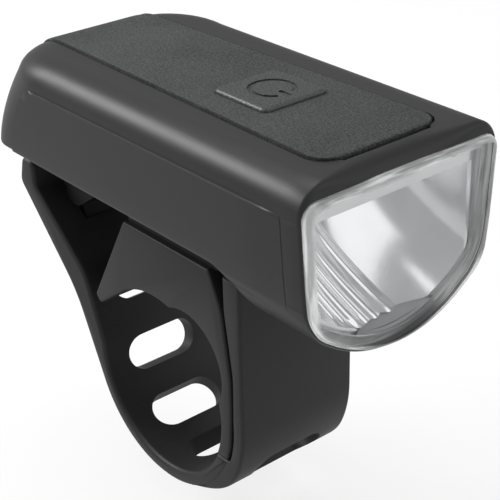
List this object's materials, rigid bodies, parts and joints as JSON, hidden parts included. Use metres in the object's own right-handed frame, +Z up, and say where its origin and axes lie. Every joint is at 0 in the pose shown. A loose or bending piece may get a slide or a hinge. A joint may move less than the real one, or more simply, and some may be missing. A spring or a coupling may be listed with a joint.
{
  "type": "bike headlight",
  "caption": "Compact rechargeable bike headlight with a fluted reflector behind a clear cap, a rubber top with a power button, and a slotted rubber strap that hooks round the handlebar.",
  "frame": {"origin": "on the handlebar's axis, in the middle of the clamp's width", "axes": "+X forward along the beam, +Y along the handlebar to the rider's left, +Z up"},
  "size_m": [0.0824, 0.037, 0.0709],
  "materials": {
    "body_plastic": "satin moulded plastic",
    "base_plastic": "matte moulded plastic",
    "clear_lens": "clear polished plastic",
    "seal_rubber": "matte",
    "reflector_chrome": "bright metallised",
    "led_yellow": "phosphor dome",
    "led_board_white": "white solder mask",
    "sink_aluminium": "plain",
    "wire_red": "insulated flat lead",
    "wire_black": "insulated wire",
    "board_green": "solder mask",
    "chip_black": "moulded",
    "plunger_white": "moulded",
    "cell_foil": "laminated foil",
    "steel": "plated",
    "cover_rubber": "matte with a fine grain",
    "strap_rubber": "matte"
  },
  "bodies": {
    "lamp": {"housing": "body_plastic", "base_cover": "base_plastic", "base_screws": "steel", "lens": "clear_lens", "lens_gasket": "seal_rubber", "reflector": "reflector_chrome", "led_emitter": "led_yellow", "led_board": "led_board_white", "heat_sink": "sink_aluminium", "led_leads": "wire_red", "main_board": "board_green", "board_chips": "chip_black", "board_screws": "steel", "switch_body": "chip_black", "port_shell": "steel", "port_tongue": "chip_black", "battery_cell": "cell_foil", "battery_pad": "seal_rubber", "battery_leads": "wire_black", "top_cover": "cover_rubber", "mount_base": "base_plastic", "mount_screws": "steel", "anchor_pin": "steel", "saddle": "strap_rubber"},
    "button": {"power_button": "cover_rubber"},
    "plunger": {"switch_plunger": "plunger_white"},
    "flap": {"port_flap": "cover_rubber"},
    "band": {"strap": "strap_rubber"}
  },
  "joints": [
    {"name": "button_press", "type": "slide", "parent": "lamp", "child": "button", "axis": [0, 0, -1], "range_m": [0, 0.0006], "stiffness_N_per_m": 800},
    {"name": "plunger_press", "type": "slide", "parent": "lamp", "child": "plunger", "axis": [0, 0, -1], "range_m": [0, 0.0006]},
    {"name": "flap_hinge", "type": "hinge", "parent": "lamp", "child": "flap", "pos_m": [-0.02817, 0, 0.05134], "axis": [0, 1, 0], "range_deg": [0, 110]},
    {"name": "strap_swing", "type": "hinge", "parent": "lamp", "child": "band", "pos_m": [0.0186, 0, 0.0296], "axis": [0, -1, 0], "range_deg": [0, 40]}
  ],
  "couplings": [
    {"joint": "plunger_press", "follows": "button_press", "ratio": 1}
  ]
}
